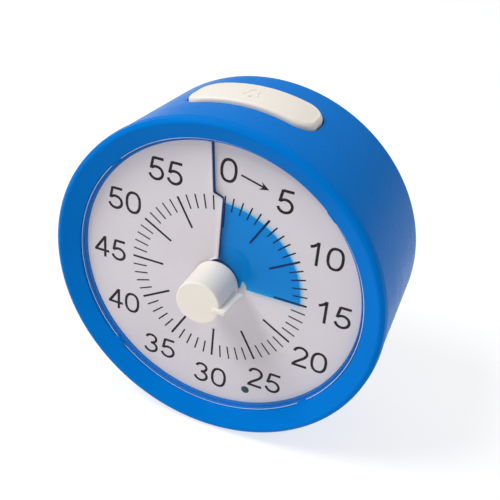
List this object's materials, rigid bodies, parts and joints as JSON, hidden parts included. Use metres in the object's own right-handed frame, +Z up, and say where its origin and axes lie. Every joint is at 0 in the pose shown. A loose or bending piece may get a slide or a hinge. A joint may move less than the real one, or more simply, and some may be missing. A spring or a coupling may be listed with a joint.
{
  "type": "visual timer",
  "caption": "Round battery desk timer with a centre knob that winds a coloured sector out of a slit dial, a top press bar and a rear battery door.",
  "frame": {"origin": "centre of the bounding box on the surface that the feet stand on", "axes": "+Z up, +Y into the case from the dial to the back cover, +X to the right as one reads the dial"},
  "size_m": [0.09, 0.0462, 0.091],
  "materials": {
    "blue_case": "satin gloss",
    "cream_plastic": "satin",
    "clear_lens": "clear",
    "dial_print": "matt",
    "blue_film": "satin, lets the ticks show through",
    "steel": "plain",
    "magnet_plating": "nickel plated",
    "brass": "plain",
    "white_acetal": "moulded",
    "ferrite": "sintered",
    "copper_winding": "enamelled wire",
    "grey_plastic": "moulded",
    "board_green": "solder mask",
    "black_plastic": "moulded",
    "lamp_window": "dark clear",
    "cell_wrap": "printed sleeve",
    "foot_rubber": "matt"
  },
  "bodies": {
    "case": {"front_bezel": "blue_case", "body_shell": "blue_case", "rear_cover": "blue_case", "dial_carrier": "blue_case", "lens": "clear_lens", "dial_sheet": "dial_print", "stator": "steel", "movement_screws": "steel", "crystal": "steel", "bar_springs": "steel", "volume_switch": "steel", "contact_spring": "steel", "contact_plate": "steel", "case_screws": "steel", "board_screws": "steel", "magnets": "magnet_plating", "coil": "copper_winding", "movement_case": "grey_plastic", "movement_plate": "grey_plastic", "circuit_board": "board_green", "timer_chip": "black_plastic", "buzzer": "black_plastic", "bar_switch": "black_plastic", "indicator_led": "lamp_window", "battery": "cell_wrap", "feet": "foot_rubber"},
    "knob_set": {"knob": "cream_plastic", "arbor": "steel", "colour_disc": "blue_film", "disc_hub": "cream_plastic", "clutch_spring": "brass"},
    "centre_wheel": {"centre_wheel": "brass"},
    "second_wheel": {"second_wheel": "brass"},
    "first_wheel": {"first_wheel": "white_acetal"},
    "rotor": {"rotor_pinion": "white_acetal", "rotor_magnet": "ferrite"},
    "press_bar": {"press_bar": "cream_plastic"},
    "battery_door": {"battery_door": "blue_case"},
    "volume_slider": {"volume_slider": "cream_plastic"}
  },
  "joints": [
    {"name": "knob_turn", "type": "hinge", "parent": "case", "child": "knob_set", "pos_m": [0, -0.0108, 0.0455], "axis": [0, 1, 0], "range_deg": [-90, 240]},
    {"name": "centre_wheel_spin", "type": "hinge", "parent": "case", "child": "centre_wheel", "pos_m": [0, -0.0108, 0.0455], "axis": [0, 1, 0], "continuous": true},
    {"name": "second_wheel_spin", "type": "hinge", "parent": "case", "child": "second_wheel", "pos_m": [0.00909, -0.0108, 0.04025], "axis": [0, 1, 0], "continuous": true},
    {"name": "first_wheel_spin", "type": "hinge", "parent": "case", "child": "first_wheel", "pos_m": [0.0055, -0.0108, 0.03038], "axis": [0, 1, 0], "continuous": true},
    {"name": "rotor_spin", "type": "hinge", "parent": "case", "child": "rotor", "pos_m": [-0.00464, -0.0108, 0.0331], "axis": [0, 1, 0], "continuous": true},
    {"name": "bar_press", "type": "slide", "parent": "case", "child": "press_bar", "axis": [0, 0, -1], "range_m": [0, 0.0012], "stiffness_N_per_m": 300, "springref_m": -0.003, "deforming": ["bar_springs"]},
    {"name": "door_lift", "type": "slide", "parent": "case", "child": "battery_door", "axis": [0, 1, 0], "range_m": [0, 0.02]},
    {"name": "volume_slide", "type": "slide", "parent": "case", "child": "volume_slider", "axis": [1, 0, 0], "range_m": [-0.002, 0.002]}
  ],
  "couplings": [
    {"joint": "first_wheel_spin", "follows": "rotor_spin", "ratio": -0.16667},
    {"joint": "second_wheel_spin", "follows": "rotor_spin", "ratio": 0.033333},
    {"joint": "centre_wheel_spin", "follows": "rotor_spin", "ratio": -0.0083333}
  ]
}
